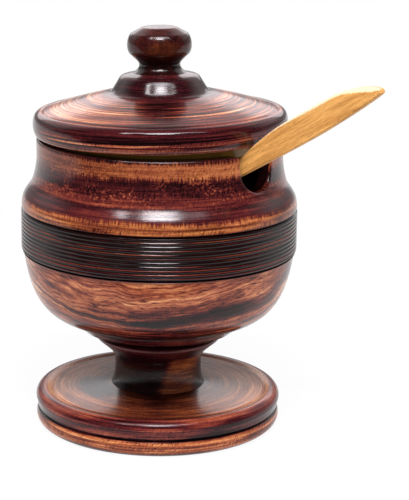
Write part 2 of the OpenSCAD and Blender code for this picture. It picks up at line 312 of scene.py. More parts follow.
def lid_profile():
    inner = SPIGOT_R - SPIGOT_W
    line = [(0, RECESS_H), (inner, RECESS_H), (inner, -SPIGOT_H), (SPIGOT_R - 0.5, -SPIGOT_H)]
    line += [(SPIGOT_R, 0.5 - SPIGOT_H), (SPIGOT_R, 0)]
    side, boss = (LID_R, LID_EDGE_H * 0.48), (BOSS_FOOT_R, BOSS_Z)
    line += curve((SEAT_R, 0), (SEAT_R + 1.1, 0.2), (LID_R, LID_EDGE_H * 0.26), side)
    line += curve(side, (LID_R, LID_EDGE_H * 0.78), (LID_LINE_R + 2.7, LID_EDGE_H * 0.94),
                  (LID_LINE_R + 0.5, LID_EDGE_H - 0.1))[1:]
    line += [(LID_LINE_R, LID_EDGE_H - 0.4)]
    line += curve((LID_LINE_R - 0.5, LID_EDGE_H), (LID_LINE_R - 6, LID_EDGE_H + 1.8),
                  (BOSS_FOOT_R + 6, BOSS_Z - 1.2), boss, 24)
    line += curve(boss, (BOSS_FOOT_R - 1.4, BOSS_Z + 0.1), (BOSS_R + 2.6, BOSS_Z + 0.3),
                  (BOSS_R + 2.0, BOSS_Z + 0.8), 8)[1:]
    line += curve((BOSS_R - 0.9, LID_H - 1.6), (BOSS_R - 1.4, LID_H - 1.0), (BOSS_R - 1.9, LID_H - 0.8),
                  (BOSS_R - 2.6, LID_H - 0.6), 8)
    return line + [(KNOB_BASE_R, LID_H)] + hole(PIN_R, LID_H, LID_H - PIN_DEPTH)


def knob_profile():
    waist, cheek, side = (WAIST_R, WAIST_Z), (KNOB_R - 0.9, 6.9), (KNOB_R - 1.4, KNOB_H - 2.2)
    line = hole(PIN_R, 0, PIN_DEPTH)[::-1]
    line += curve((KNOB_BASE_R, 0), (KNOB_BASE_R - 1.2, 0.6), (waist[0], 1.5), waist)
    line += curve(waist, (waist[0], waist[1] + 1), (cheek[0] - 1.8, cheek[1] - 1.8), cheek)[1:]
    line += curve(cheek, (cheek[0] + 1, cheek[1] + 1.2), (side[0] + 1.9, side[1] - 2.4), side)[1:]
    line += [(KNOB_TOP_R + 0.2, KNOB_H - 0.2), (KNOB_TOP_R - 0.4, KNOB_H), (KNOB_TOP_R / 2, KNOB_H)]
    return line + [(0, KNOB_H)]


# Meshes

def linked(name, data):
    """A new object in the scene."""
    obj = bpy.data.objects.new(name, data)
    bpy.context.scene.collection.objects.link(obj)
    return obj


def make_object(name, points, faces, place):
    """A smooth mesh object. Its points are in millimetres, in the frame that its wood is drawn in."""
    mesh = bpy.data.meshes.new(name)
    mesh.from_pydata([place @ (Vector(p) * MM) for p in points], [], faces)
    mesh.polygons.foreach_set("use_smooth", [True] * len(mesh.polygons))
    mesh.set_sharp_from_angle(angle=radians(SHARP_ANGLE))
    own = mesh.attributes.new(OWN_FRAME, "FLOAT_VECTOR", "POINT")
    own.data.foreach_set("vector", [c for p in points for c in p])
    return linked(name, mesh)


def turned(name, profile, place, edge, step, sides=SIDES):
    """A profile that starts and ends on the axis, with its edges rounded, turned round it."""
    points, rings = [], []
    for r, z in fill_in(soften(profile, edge), step):
        if r < 1e-6:
            rings.append([len(points)])
            points.append((0, 0, z))
        else:
            rings.append(range(len(points), len(points) + sides))
            points += [polar(r, 2 * pi * i / sides, z) for i in range(sides)]
    faces = []
    for low, high in zip(rings, rings[1:]):
        for i in range(sides):
            j = (i + 1) % sides
            if len(low) == 1:
                faces.append((low[0], high[j], high[i]))
            elif len(high) == 1:
                faces.append((low[i], low[j], high[0]))
            else:
                faces.append((low[i], low[j], high[j], high[i]))
    return make_object(name, points, faces, place)


def notch_line():
    """The mouth's edge, seen square on from the notch: (across, height) and its normal into the wood."""
    middle = (NOTCH_SHIFT, NOTCH_LOW + NOTCH_R)
    bottom = arc(middle, NOTCH_R, 180 + NOTCH_FLARE, 360 - NOTCH_FLARE, 40)
    out_by = (BOWL_H - bottom[0][1]) * tan(radians(NOTCH_FLARE))
    left, right = (bottom[0][0] - out_by, BOWL_H), (bottom[-1][0] + out_by, BOWL_H)
    line = [(-NOTCH_ZONE, BOWL_H), left] + bottom + [right, (NOTCH_ZONE, BOWL_H)]
    line = fill_in(soften(line, radius=1.3, turn=30, steps=8), 0.55)
    out = []
    for i, here in enumerate(line):
        along = Vector(line[min(i + 1, len(line) - 1)]) - Vector(line[max(i - 1, 0)])
        along.normalize()
        out.append((here, (along.y, -along.x)))
    return out


def rim_wall():
    """The way over the rim: (shift into the wood, depth from a face, whether that is the outer face)."""
    quarter = spaced(0, pi / 2, EDGE_STEPS)

    def rounded(radius, angles, from_outside):
        return [(radius * (1 - sin(a)), radius * (1 - cos(a)), from_outside) for a in angles]

    flat = spaced(EDGE_ROUND, RIM_WALL - EDGE_ROUND_IN, FLAT_STEPS)[1:-1]
    return (rounded(EDGE_ROUND, quarter[1:], True) + [(0, depth, True) for depth in flat]
            + rounded(EDGE_ROUND_IN, quarter[::-1], False))


def bowl_mesh(name, place):
    """The bowl as one closed skin: each column runs up the outside, over the edge and down the inside."""
    r_out, r_in = at_height(shoulder_profile()), at_height(bowl_inside())
    low_out = [p for p in fill_in(soften(bowl_outside(), 0.25), 1.2) if p[1] < SPLIT_Z]
    low_in = [p for p in fill_in(bowl_inside(), 1.5) if p[1] < SPLIT_Z]
    wall = rim_wall()

    def angles(across, z):
        return asin(across / r_out(z)), asin(across / r_in(z))

    # The edge of a column is a function of the shift into the wood: its directions on the outside and
    # inside, and its height
    def notch_edge(here, normal):
        def edge(shift):
            across, z = here[0] + normal[0] * shift, here[1] + normal[1] * shift
            return (*angles(across, z), z)
        return edge

    def rim_edge(t):
        side_out, side_in = angles(NOTCH_ZONE, BOWL_H)
        outside = side_out + (2 * pi - 2 * side_out) * t
        inside = outside + (side_in - side_out) * (1 - 2 * t) * max(0, 1 - 6 * min(t, 1 - t))
        return lambda shift: (outside, inside, BOWL_H - shift)

    def over_rim(edge):
        out = []
        for shift, depth, from_outside in wall:
            a, b, z = edge(shift)
            p, q = Vector(polar(r_out(z), a, z)), Vector(polar(r_in(z), b, z))
            t = depth / (p - q).length
            out.append(p.lerp(q, t) if from_outside else q.lerp(p, t))
        return out

    def column(edge):
        a_out, _, top_out = edge(EDGE_ROUND)
        _, a_in, top_in = edge(EDGE_ROUND_IN)
        up = low_out + [(r_out(z), z) for z in spaced(SPLIT_Z, top_out, WALL_ROWS)]
        down = [(r_in(z), z) for z in spaced(top_in, SPLIT_Z, WALL_ROWS)[1:]] + low_in
        return [polar(r, a_out, z) for r, z in up] + over_rim(edge) + [polar(r, a_in, z) for r, z in down]

    edges = [notch_edge(*at) for at in notch_line()]
    edges += [rim_edge(i / RIM_COLUMNS) for i in range(1, RIM_COLUMNS)]
    columns = [column(edge) for edge in edges]
    ends = [columns[0][0], columns[0][-1]]
    rows = len(columns[0]) - 2
    first_inner = len(low_out) + WALL_ROWS + 1 + len(wall)
    points = [p for line in columns for p in line[1:-1]] + ends
    low_pole, high_pole = len(points) - 2, len(points) - 1
    faces, inner = [], []
    for i in range(len(columns)):
        a, b = i * rows, (i + 1) % len(columns) * rows
        faces.append((low_pole, b, a))
        faces += [(a + k, b + k, b + k + 1, a + k + 1) for k in range(rows - 1)]
        faces.append((a + rows - 1, b + rows - 1, high_pole))
        inner += [0] + [int(k + 1 >= first_inner) for k in range(rows - 1)] + [1]
    turn = Matrix.Rotation(radians(NOTCH_AZ), 3, "Z")
    obj = make_object(name, [turn @ Vector(p) for p in points], faces, place)
    obj.data.polygons.foreach_set("material_index", inner)
    return obj


def handle_edge(w, x0, x1):
    """One edge of the handle, from the scoop to the tip, as points that are widest from x0 to x1."""
    line = [(-SPOON_IN, SPOON_NECK)]
    line += curve((-8, SPOON_NECK), (0, SPOON_NECK + 0.1), (x0 - 16, w), (x0, w), 30)
    return line + curve((x1, w), (x1 + (SPOON_END - x1) * 0.35, w), (SPOON_END - 0.8, w * 0.55),
                        (SPOON_END, 0), 60)


def smooth_max(a, b, k):
    """The larger of two values, with a soft change between them."""
    h = max(k - abs(a - b), 0) / k
    return max(a, b) + h * h * k / 4


def smooth_step(value, low, high):
    """0 below low, 1 above high, with soft ends."""
    t = min(max((value - low) / (high - low), 0), 1)
    return t * t * (3 - 2 * t)


def spoon_mesh(name, place):
    """Handle and scoop as one skin of cross-sections: x along the handle, y across it, z through it."""
    middle = SCOOP_R - SPOON_IN
    ball = (SCOOP_R**2 + SCOOP_DEPTH**2) / (2 * SCOOP_DEPTH)
    hollow = ball - SCOOP_WALL
    rim_z = -SPOON_T / 2 + HAIR
    board_z = SPOON_T / 2 - HAIR
    ball_z = rim_z + SCOOP_DEPTH - ball
    nowhere = -99
    edge_round, skirt, dense_l = 0.7, SCOOP_R + 4, 14
    leaf = SPOON_END - LEAF_L
    upper_line = handle_edge(SPOON_W + LEAF_LIFT - HAIR, leaf - 3, SPOON_END - TIP_L)
    lower_line = handle_edge(SPOON_W - LEAF_LIFT - HAIR, leaf, leaf)
    upper = at_height([(w, x) for x, w in upper_line])
    lower = at_height([(w, x) for x, w in lower_line])

    def widths(x):
        """The upper and lower half width at x."""
        round_part = sqrt(max(SCOOP_R**2 - (x - middle)**2, 0))
        if x < middle:
            return round_part, round_part
        return smooth_max(round_part, upper(x), 3.0), smooth_max(round_part, lower(x), 3.0)

    def dome(x, y, radius):
        """A ball round the scoop's middle."""
        off = hypot(x - middle, y)
        return ball_z + sqrt(max(radius**2 - off**2, 0)) if off < radius else nowhere

    def back(x, y):
        """The rounded back of the scoop and the handle's outer face."""
        level = dome(x, y, ball)
        if x > middle:
            board = board_z
            if abs(y) > SPOON_NECK and hypot(x - middle, y) < skirt:
                fall = 6.0 * (abs(y) - SPOON_NECK) / SCOOP_R
                board -= fall * max(0, 1 - (x - middle) / skirt)
            level = smooth_max(level, board, 2.0)
        return max(level, rim_z + 0.4)

    def front(x, y):
        """The face with the hollow of the scoop."""
        return smooth_max(dome(x, y, hollow), rim_z, 0.9)

    def bevel(x, y, w):
        """How deep the carved bevel on the handle's upper edge is at y, and whether y is on it."""
        wide = 0.25 * smooth_step(x, -30, -8) + 0.6 * smooth_step(x, 5, 35)
        wide += 0.9 * smooth_step(x, SPOON_END - 16, SPOON_END - 5)
        inside = max(0, y - (w - min(wide, 0.6 * w)))
        return 0.8 * inside, min(inside / 0.2, 1)

    neck = middle + SCOOP_R * 1.3
    stations = [-SPOON_IN + SCOOP_R * (1 - cos(a)) for a in spaced(0, pi / 2, 30)[1:]]
    stations += spaced(middle, neck, 26)[1:] + spaced(neck, SPOON_END - dense_l, 90)[1:]
    stations += [SPOON_END - dense_l * (1 - sin(a)) for a in spaced(0, pi / 2, 36)[1:-1]]
    points, bevel_wear_and_highlight = [], []
    for x in stations:
        up, down = widths(x)
        for side in (1, -1):
            for i in range(SPOON_HALF):
                s = sin(pi / 2 * (2 * (i + 0.5) / SPOON_HALF - 1)) * side
                w = up if s > 0 else down
                y = s * w
                top, bottom = back(x, y), front(x, y)
                r = min(edge_round, 0.48 * (top - bottom), 0.9 * w)
                inset = max(0, abs(y) - (w - r)) / max(r, 1e-6)
                cut = r * (1 - sqrt(max(0, 1 - min(inset, 1)**2)))
                slope, on_bevel = bevel(x, y, w) if side == 1 else (0, 0)
                points.append((x, y, top - max(cut, slope) if side == 1 else bottom + cut))
                bevel_wear_and_highlight.append(on_bevel)

    count, rows = 2 * SPOON_HALF, len(stations)
    faces = []
    for k in range(rows - 1):
        low, high = k * count, (k + 1) * count
        faces += [(low + i, low + (i + 1) % count, high + (i + 1) % count, high + i) for i in range(count)]
    for k, x in ((0, -SPOON_IN), (rows - 1, SPOON_END)):
        ring = range(k * count, (k + 1) * count)
        pole = len(points)
        points.append((x, 0, sum(points[i][2] for i in ring) / count))
        bevel_wear_and_highlight.append(0)
        for i in range(count):
            a, b = ring[i], ring[(i + 1) % count]
            faces.append((a, b, pole) if k else (b, a, pole))
    obj = make_object(name, points, faces, place)
    obj.data.attributes.new(BEVEL, "FLOAT", "POINT").data.foreach_set("value", bevel_wear_and_highlight)
    return obj


# Places

def lifted(z):
    return Matrix.Translation((0, 0, z * MM))


def rotated(angle, axis):
    return Matrix.Rotation(radians(angle), 4, axis)


def on_lid():
    """The lid's frame: tilted up at the spoon, with the seat's far side on the rim."""
    pivot = min(SEAT_R - LID_SHIFT, RIM_R - EDGE_ROUND)
    return (rotated(SPOON_AZ, "Z")
            @ Matrix.Translation((-pivot * MM, 0, (RIM_Z + TOUCH_GAP) * MM))
            @ rotated(-LID_TILT, "Y")
            @ Matrix.Translation(((pivot + LID_SHIFT) * MM, 0, 0)))


def on_spoon():
    """The spoon's frame: x along the handle from the rim outward, y up across its width."""
    cross = sqrt(RIM_R**2 - SPOON_OFF**2)
    return (rotated(SPOON_AZ, "Z")
            @ Matrix.Translation((cross * MM, -SPOON_OFF * MM, (RIM_Z - SPOON_DROP) * MM))
            @ rotated(-SPOON_RISE, "Y")
            @ rotated(90, "X"))


# Wood

# Radius that streaks and strokes round a piece are measured at, and the least radius that has a direction
STROKE_R = 47.0
AXIS_R = 0.01


class Nodes:
    """Adds the nodes of a material or a world. Inputs are sockets or plain values."""

    def __init__(self, tree):
        self.tree = tree

    def node(self, kind, inputs=(), **settings):
        made = self.tree.nodes.new(kind)
        for key, value in settings.items():
            setattr(made, key, value)
        for key, value in dict(inputs).items():
            if isinstance(value, bpy.types.NodeSocket):
                self.tree.links.new(value, made.inputs[key])
            else:
                made.inputs[key].default_value = value
        return made

    def math(self, operation, a, b=0.0, c=0.0):
        return self.node("ShaderNodeMath", {0: a, 1: b, 2: c}, operation=operation).outputs[0]

    def times(self, first, *rest):
        out = first
        for factor in rest:
            out = self.math("MULTIPLY", out, factor)
        return out

    def plus(self, base, value, weight):
        """base with a weighted value added to it."""
        return self.math("MULTIPLY_ADD", value, weight, base)

    def total(self, *terms):
        """The sum of plain terms and (value, weight) pairs."""
        out = 0.0
        for term in terms:
            out = self.plus(out, *term) if isinstance(term, tuple) else self.math("ADD", out, term)
        return out

    def ease(self, value, low, high, to_low=0.0, to_high=1.0):
        """value from low to high, carried to another range with soft ends."""
        return self.node("ShaderNodeMapRange", {0: value, 1: low, 2: high, 3: to_low, 4: to_high},
                         interpolation_type="SMOOTHSTEP").outputs[0]

    def window(self, value, start, full, fade, end):
        """One from full to fade, nothing before start and after end."""
        return self.times(self.ease(value, start, full), self.ease(value, end, fade))

    def blend(self, factor, a, b):
        return self.node("ShaderNodeMix", {0: factor, 2: a, 3: b}).outputs[0]

    def ray(self, *kinds):
        """One for rays of some kinds, else nothing."""
        rays = self.node("ShaderNodeLightPath").outputs
        out = rays[kinds[0]]
        for kind in kinds[1:]:
            out = self.math("MAXIMUM", out, rays[kind])
        return out


class Shader(Nodes):
    """The nodes of a new material. place is in millimetres, in the piece's own frame or the object's."""

    def __init__(self, name, own=True):
        self.material = bpy.data.materials.new(name)
        self.material.use_nodes = True
        super().__init__(self.material.node_tree)
        self.tree.nodes.clear()
        if own:
            self.place = self.node("ShaderNodeAttribute", attribute_name=OWN_FRAME).outputs["Vector"]
        else:
            self.place = self.stretch(self.node("ShaderNodeTexCoord").outputs["Object"], (1 / MM,) * 3)

    def combine(self, x, y, z):
        return self.node("ShaderNodeCombineXYZ", {0: x, 1: y, 2: z}).outputs[0]

    def stretch(self, vector, by, shift=(0, 0, 0)):
        made = self.node("ShaderNodeVectorMath", {0: vector, 1: by, 2: shift}, operation="MULTIPLY_ADD")
        return made.outputs[0]

    def noise(self, vector, scale=1.0, detail=2.0, roughness=0.5, w=None, bend=0.0):
        inputs = {"Vector": vector, "Scale": scale, "Detail": detail, "Roughness": roughness,
                  "Distortion": bend}
        if w is None:
            return self.node("ShaderNodeTexNoise", inputs, noise_dimensions="3D").outputs[0]
        return self.node("ShaderNodeTexNoise", {**inputs, "W": w}, noise_dimensions="4D").outputs[0]

    def clouds(self, scale, shift, detail=2.0, roughness=0.5, bend=0.0):
        """Noise at the point's place: scale is how many spots there are per millimetre along x, y and z."""
        return self.noise(self.stretch(self.place, scale, shift), 1.0, detail, roughness, bend=bend)

    def spread(self, value, reach=0.2):
        """A noise level pulled apart, from -0.5 to 0.5."""
        return self.ease(value, 0.5 - reach, 0.5 + reach, -0.5, 0.5)

    def ramp(self, factor, stops):
        """Colours or grey levels along a factor."""
        made = self.node("ShaderNodeValToRGB", {0: factor})
        band = made.color_ramp
        band.interpolation = "LINEAR"
        for i, (at, colour) in enumerate(stops):
            stop = band.elements[i] if i < 2 else band.elements.new(at)
            stop.position = at
            stop.color = (*colour, 1) if isinstance(colour, tuple) else (colour,) * 3 + (1,)
        return made.outputs[0]

    def along(self, value, stops):
        """Levels at places, in millimetres, along a value."""
        low, high = stops[0][0], stops[-1][0]
        factor = self.node("ShaderNodeMapRange", {0: value, 1: low, 2: high}).outputs[0]
        return self.ramp(factor, [((at - low) / (high - low), level) for at, level in stops])

    def mix(self, factor, a, b):
        """A colour between two others."""
        return self.node("ShaderNodeMix", {0: factor, 6: a, 7: b}, data_type="RGBA").outputs[2]

    def finish(self, colour, roughness, height, strength, depth, lacquer):
        """The material's surface, with a relief that is depth metres deep."""
        bump = self.node("ShaderNodeBump", {"Height": height, "Strength": strength, "Distance": depth})
        shader = self.node("ShaderNodeBsdfPrincipled", {
            "Base Color": colour, "Roughness": roughness, "Normal": bump.outputs[0],
            "Specular IOR Level": lacquer})
        self.node("ShaderNodeOutputMaterial", {"Surface": shader.outputs[0]})
        return self.material


class Turning(Shader):
    """A shader that knows where a point is on a turned piece: radius, height and direction."""

    def __init__(self, name, seed):
        super().__init__(name)
        self.seed = seed
        self.x, self.y, self.z = self.node("ShaderNodeSeparateXYZ", {0: self.place}).outputs
        square = self.total((self.x, self.x), (self.y, self.y))
        self.r = self.math("MAXIMUM", self.math("SQRT", square), AXIS_R)
        self.cos = self.math("DIVIDE", self.x, self.r)
        self.sin = self.math("DIVIDE", self.y, self.r)
        self.turn = self.math("ARCTAN2", self.y, self.x)

    def wavy_height(self, scale, detail, roughness, amount):
        """The height, moved up and down by a wave round the axis, for the uneven edges of zones."""
        wave = self.noise(self.combine(self.cos, self.sin, 0.0), scale, detail, roughness)
        return self.total(self.z, (wave, amount), -amount / 2)

    def rings(self, width, sweep, detail=4.0, roughness=0.55, seed=0.0):
        """Streaks round the axis: about width millimetres across, and sweep of a full turn long."""
        turns = 1 / (2 * pi * sweep)
        vector = self.combine(self.plus(self.seed + seed, self.r, 1 / width),
                              self.times(self.z, 1 / width), self.times(self.cos, turns))
        return self.noise(vector, 1.0, detail, roughness, w=self.plus(seed, self.sin, turns))

    def growth(self, lean, bends, seed=0.0):
        """Height in the block's growth layers: lean is their slope in x and y, bends are (size, amount)."""
        level = self.total(self.z, (self.x, -lean[0]), (self.y, -lean[1]))
        for size, amount in bends:
            flow = self.clouds((1 / size,) * 3, (self.seed + seed, size, 0))
            level = self.total(level, (flow, 2 * amount), -amount)
        return level

    def grain(self, level, width, length, detail=4.0, roughness=0.55, seed=0.0):
        """Streaks along the growth layers, about width across and length long."""
        vector = self.combine(self.plus(self.seed + seed, self.x, 1 / length),
                              self.times(self.y, 1 / length), self.times(level, 1 / width))
        return self.noise(vector, 1.0, detail, roughness)

    def flecks(self, size, low, high, seed=0.0):
        """Short pores: size is their extent along x, y and z."""
        spots = self.clouds(tuple(1 / v for v in size), (self.seed + seed, seed, 0), 1.0)
        return self.ease(spots, low, high)

    def upright(self, across, along, seed=0.0):
        """Streaks that run up the piece: across and along are in millimetres."""
        vector = self.combine(self.plus(self.seed + seed, self.turn, STROKE_R / across),
                              self.times(self.z, 1 / along), seed)
        return self.noise(vector, 1.0, 3.0, 0.6)

    def strokes(self, slant, across, along, low, high, seed=0.0):
        """Short upright strokes that lean by slant round the piece: across and along are in millimetres."""
        bent = self.clouds((0.35,) * 3, (seed, 0, 0))
        round_by = self.total((self.turn, STROKE_R / across), (self.z, -slant / across), (bent, 7.0),
                              self.seed + seed)
        vector = self.combine(round_by, self.times(self.z, 1 / along), seed)
        return self.ease(self.noise(vector, 1.0, 3.0, 0.65), low, high)

    def toward(self, azimuth):
        """The cosine of the angle round the axis from a direction."""
        a = radians(azimuth)
        return self.total((self.cos, cos(a)), (self.sin, sin(a)))

    def facing(self, azimuth, spread):
        """One in a direction round the axis, falling off to nothing at spread degrees on either side."""
        return self.ease(self.toward(azimuth), cos(radians(spread)), 1.0)

    def patch(self, azimuth, spread, z, height):
        """A soft spot, one in its middle, in a direction and at a height."""
        off = self.math("DIVIDE", self.plus(1.0, self.toward(azimuth), -1.0), radians(spread)**2 / 2)
        up = self.math("DIVIDE", self.total(self.z, -z), height)
        return self.ease(self.plus(off, up, up), 1.6, 0.0)


# Stain colours from burnt to bare wood: the red stain, and where golden wood shows through it
STOPS = (0.0, 0.14, 0.3, 0.45, 0.6, 0.75, 0.88, 1.0)
STAIN = ((0.004, 0.0012, 0.0015), (0.017, 0.0028, 0.0040), (0.058, 0.0075, 0.0095), (0.140, 0.022, 0.0170),
         (0.27, 0.060, 0.029), (0.45, 0.138, 0.064), (0.63, 0.26, 0.11), (0.80, 0.48, 0.28))
GOLD = ((0.004, 0.0014, 0.0010), (0.016, 0.0038, 0.0020), (0.054, 0.0110, 0.0036), (0.125, 0.033, 0.0085),
        (0.27, 0.080, 0.018), (0.47, 0.170, 0.040), (0.65, 0.29, 0.09), (0.80, 0.49, 0.24))
# How strongly lacquered and bare wood mirror, and how deep their relief is, in metres
LACQUER = 0.36
FOOT_LACQUER = 0.26
BARE_LACQUER = 0.3
STAINED_RELIEF = 0.00009
BARE_RELIEF = 0.00006
# The side that faces the camera, as a direction round the axis
FRONT_AZ = -89


def stained(wood, tone, golden, gloss=0.18, marks=0.45, under=None, lacquer=LACQUER, polish=None):
    """The lacquered finish of a turned piece. tone runs from burnt to bare and golden from red to golden
    stain. under is (mask, colour) of unstained wood, and polish a mask of glossier wood."""
    speckle = wood.spread(wood.clouds((1.4, 1.4, 2.2), (wood.seed, 5, 0), 2.0, 0.6))
    hairs = wood.spread(wood.rings(0.3, 0.03, 2.0, 0.6, seed=83.0))
    tone = wood.total(tone, (speckle, 0.09), (hairs, 0.11))
    red, gold = (wood.ramp(tone, zip(STOPS, colours)) for colours in (STAIN, GOLD))
    colour = wood.mix(golden, red, gold)
    if under is not None:
        mask, bare = under
        colour = wood.mix(mask, colour, (*bare, 1))
    lines = wood.rings(0.32, 0.25, 2.0, 0.6, seed=31.0)
    cloud = wood.clouds((0.09,) * 3, (wood.seed, 7, 3), 3.0, 0.6)
    rough = wood.total((lines, 0.08), (cloud, 0.12), gloss - 0.10)
    if polish is not None:
        rough = wood.plus(rough, polish, -0.06)
    swell = wood.rings(2.2, 0.06, 2.0, 0.5, seed=57.0)
    height = wood.total((lines, 0.5), (swell, 0.5), (tone, 0.12))
    return wood.finish(colour, rough, height, marks, STAINED_RELIEF, lacquer)


def bowl_zones(wood):
    """The broad layout up the bowl: how bare the wood is, with painted shade on the rim's top, how golden,
    and where it is burnt black.
    """
    fringe = wood.spread(wood.upright(0.55, 7.0, 17.0))
    z = wood.plus(wood.wavy_height(2.6, 3.0, 0.6, 2.2), fringe, 1.7)
    # At the top of the rim the wood darkens: painted shade under the lid
    bare = wood.along(z, [
        (-1.0, 0.04), (1.6, 0.06), (2.6, 0.30), (5.0, 0.26), (5.9, 0.05), (7.5, 0.12), (9.5, 0.32),
        (13.0, 0.40), (16.5, 0.54), (21.0, 0.67), (46.9, 0.57), (50.4, 0.63), (51.6, 0.32), (55.2, 0.26),
        (56.4, 0.39), (59.4, 0.38), (61.0, 0.16), (64.0, 0.21), (65.6, 0.38), (70.4, 0.37), (71.3, 0.24),
        (73.0, 0.08)])
    neck = wood.times(wood.facing(-70, 80), wood.window(z, 64.6, 66.6, 70.2, 71.4))
    left = wood.times(wood.facing(-158, 40), wood.ease(z, 60.0, 65.0))
    bare = wood.total(bare, (neck, 0.31), (left, 0.11))
    golden = wood.along(z, [
        (0.0, 0.1), (12.0, 0.1), (20.0, 0.14), (31.0, 0.14), (46.0, 0.6), (50.6, 0.6), (52.0, 0.0),
        (60.0, 0.1), (64.0, 0.15), (66.0, 0.5), (72.0, 0.4)])
    burnt = wood.along(wood.z, [
        (0.0, 1.0), (1.8, 1.0), (2.2, 0.0), (5.4, 0.0), (5.7, 1.0), (6.0, 1.0), (6.5, 0.0), (30.7, 0.0),
        (31.1, 1.0), (47.1, 1.0), (47.5, 0.0), (72.0, 0.0)])
    return bare, golden, burnt


def belly_layers(wood):
    """Growth layers that dip at the front of the belly, and their tone there, with one broad dark layer, and
    painted light that makes its left and right sides lighter.
    """
    level = wood.growth((0.03, 0.30), [(36.0, 4.5), (12.0, 1.5), (4.0, 0.35)], seed=1.0)
    broad = wood.spread(wood.grain(level, 5.0, 70.0, 4.0, 0.6, seed=1.0))
    fine = wood.spread(wood.grain(level, 1.0, 22.0, 3.0, 0.6, seed=9.0))
    half = wood.total((wood.facing(-50, 60), 2.4), (fine, 0.8), 1.0)
    off = wood.math("ABSOLUTE", wood.total(level, -29.2))
    dark = wood.ease(wood.math("DIVIDE", off, half), 1.25, 0.55)
    # Painted light: the left and right sides of the belly are made lighter, where the lamps in front light
    # it less
    painted_side_light = wood.math("ABSOLUTE", wood.cos)
    tone = wood.total((broad, 0.30), (fine, 0.30), (painted_side_light, 0.06), (dark, -0.40))
    return level, wood.times(tone, wood.window(wood.z, 7.5, 12.0, 30.0, 31.0))


def bowl_pores(wood, level, clouds):
    """Dark dots on the belly, light specks under the neck, dark strokes on the neck and the gold stripe."""
    crowd = wood.ease(clouds, 0.36, 0.62)
    dots = wood.ease(wood.grain(level, 0.30, 3.4, 1.0, 0.5, seed=3.0), 0.52, 0.66)
    dot_share = wood.along(wood.z, [
        (6.0, 0.05), (12.0, 0.16), (20.0, 0.36), (30.0, 0.36), (31.0, 0.0), (72.0, 0.0)])
    specks = wood.flecks((1.0, 1.0, 0.7), 0.50, 0.62, 21.0)
    speck_share = wood.along(wood.z, [
        (46.8, 0.0), (52.0, 0.0), (56.5, 0.10), (60.5, 0.30), (64.5, 0.30), (66.5, 0.08), (72.0, 0.05)])
    patches = wood.ease(wood.clouds((0.07, 0.07, 0.22), (9, 1, 4)), 0.40, 0.60)
    strokes = wood.times(wood.strokes(0.30, 0.36, 2.6, 0.48, 0.66, 11.0), wood.total((patches, 0.7), 0.4))
    stroke_share = wood.along(wood.z, [
        (31.0, 0.0), (46.8, 0.0), (47.0, 0.45), (48.6, 0.36), (50.0, 0.15), (53.0, 0.05), (57.0, 0.16),
        (60.0, 0.18), (65.0, 0.18), (68.0, 0.24), (72.0, 0.22)])
    dark = wood.total((wood.times(dots, dot_share), wood.plus(0.5, crowd, 0.8)), (strokes, stroke_share))
    return wood.total((wood.times(specks, speck_share), crowd), (dark, -1.0))


def rubbed_lines(wood):
    """Copper lines where the burnt band is rubbed through on its ridges."""
    count = wood.plus(-BAND_Z / BAND_STEP, wood.z, 1 / BAND_STEP)
    off_ridge = wood.math("ABSOLUTE", wood.total(wood.math("FRACT", count), -0.70))
    line = wood.times(wood.math("FLOOR", count), 3.7)
    rubbed = wood.noise(wood.combine(wood.cos, wood.sin, line), 0.9, 3.0, 0.6)
    return wood.times(wood.ease(off_ridge, 0.15, 0.06), wood.ease(rubbed, 0.40, 0.54),
                      wood.window(wood.z, BAND_Z + 0.6, BAND_Z + 1.2, BAND_TOP - 1.1, BAND_TOP - 0.5))


def bowl_wood():
    wood = Turning("bowl_stained", 4.0)
    bare, golden, burnt = bowl_zones(wood)
    level, layers = belly_layers(wood)
    clouds = wood.clouds((0.09, 0.09, 0.16), (2, 8, 5))
    lines = wood.rings(1.1, 0.10, 5.0, 0.62, seed=2.0)
    line_share = wood.along(wood.z, [
        (0.0, 0.2), (6.0, 0.35), (10.0, 0.45), (15.0, 0.1), (46.8, 0.08), (48.0, 0.44), (51.0, 0.40),
        (53.0, 0.2), (56.0, 0.34), (60.0, 0.24), (66.0, 0.16), (72.0, 0.16)])
    shade = wood.spread(wood.clouds((0.05, 0.05, 0.12), (3, 6, 1), 3.0, 0.6), 0.16)
    shade_share = wood.along(wood.z, [(12.0, 0.22), (31.0, 0.24), (48.0, 0.07), (72.0, 0.07)])
    tone = wood.total(bare, (wood.spread(lines), line_share), (shade, shade_share), layers,
                      bowl_pores(wood, level, clouds))

    # Soot where it is burnt: joint, grooves and band
    soot = wood.plus(-0.03, lines, 0.16)
    tone = wood.plus(soot, wood.plus(tone, soot, -1.0), wood.plus(1.0, burnt, -1.0))
    tone = wood.plus(tone, rubbed_lines(wood), 0.40)
    # Painted shade: the walls of the notch are darkened to a quarter of their tone
    painted_notch_shade = wood.times(wood.ease(wood.r, RIM_R - 0.7, RIM_R - 1.4),
                          wood.ease(wood.z, NOTCH_LOW - 3.4, NOTCH_LOW - 1.4))
    tone = wood.times(tone, wood.ease(painted_notch_shade, 0.0, 1.0, 1.0, 0.25))
    return stained(wood, tone, wood.times(golden, wood.total((clouds, 1.6), 0.1)), polish=burnt)


